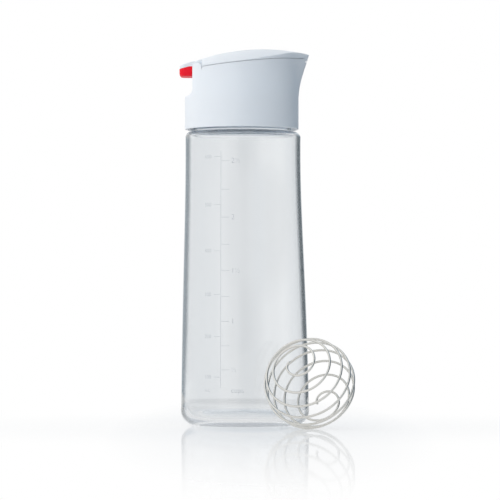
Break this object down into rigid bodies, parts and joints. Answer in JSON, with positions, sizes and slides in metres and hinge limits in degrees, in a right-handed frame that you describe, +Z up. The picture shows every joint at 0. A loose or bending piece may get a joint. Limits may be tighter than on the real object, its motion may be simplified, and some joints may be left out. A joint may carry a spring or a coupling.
{
  "type": "salad dressing shaker bottle",
  "caption": "Clear tapered shaker bottle with a white screw lid, pouring beak, thumb-worked flip cap with a red lever, and a loose wire whisk ball.",
  "frame": {"origin": "on the axis of the bottle's neck and lid, at the level of the table that the bottle stands on", "axes": "+Z up along the neck's axis, +X towards the pouring beak, +Y away from the picture's camera"},
  "size_m": [0.1038, 0.1198, 0.2274],
  "materials": {
    "clear_plastic": "clear, glossy, with faint grey measuring marks",
    "white_plastic": "satin white moulding",
    "red_plastic": "glossy red moulding",
    "silicone": "matte translucent-white silicone",
    "pin_steel": "plain drawn steel",
    "wire_steel": "polished stainless wire"
  },
  "bodies": {
    "bottle": {"bottle": "clear_plastic"},
    "seal": {"lid_gasket": "silicone"},
    "lid": {"lid_liner": "white_plastic", "lid_shell": "white_plastic", "hinge_pin": "pin_steel"},
    "flip": {"flip_cap": "white_plastic", "flip_lever": "red_plastic", "spout_seal": "silicone", "vent_seal": "silicone"},
    "ball": {"whisk_ball": "wire_steel"}
  },
  "joints": [
    {"name": "lid_rise", "type": "slide", "parent": "bottle", "child": "seal", "axis": [0, 0, 1], "range_m": [0, 0.024]},
    {"name": "lid_turn", "type": "hinge", "parent": "seal", "child": "lid", "pos_m": [0, 0, 0.1789], "axis": [0, 0, 1], "range_deg": [0, 720]},
    {"name": "cap_flip", "type": "hinge", "parent": "lid", "child": "flip", "pos_m": [-0.027, 0, 0.21483], "axis": [0, -1, 0], "range_deg": [0, 70]},
    {"name": "ball_lift", "type": "slide", "parent": "bottle", "child": "ball", "axis": [0, 0, 1], "range_m": [0, 0.25]}
  ],
  "couplings": [
    {"joint": "lid_rise", "follows": "lid_turn", "m_per_rad": 0.0019099}
  ]
}
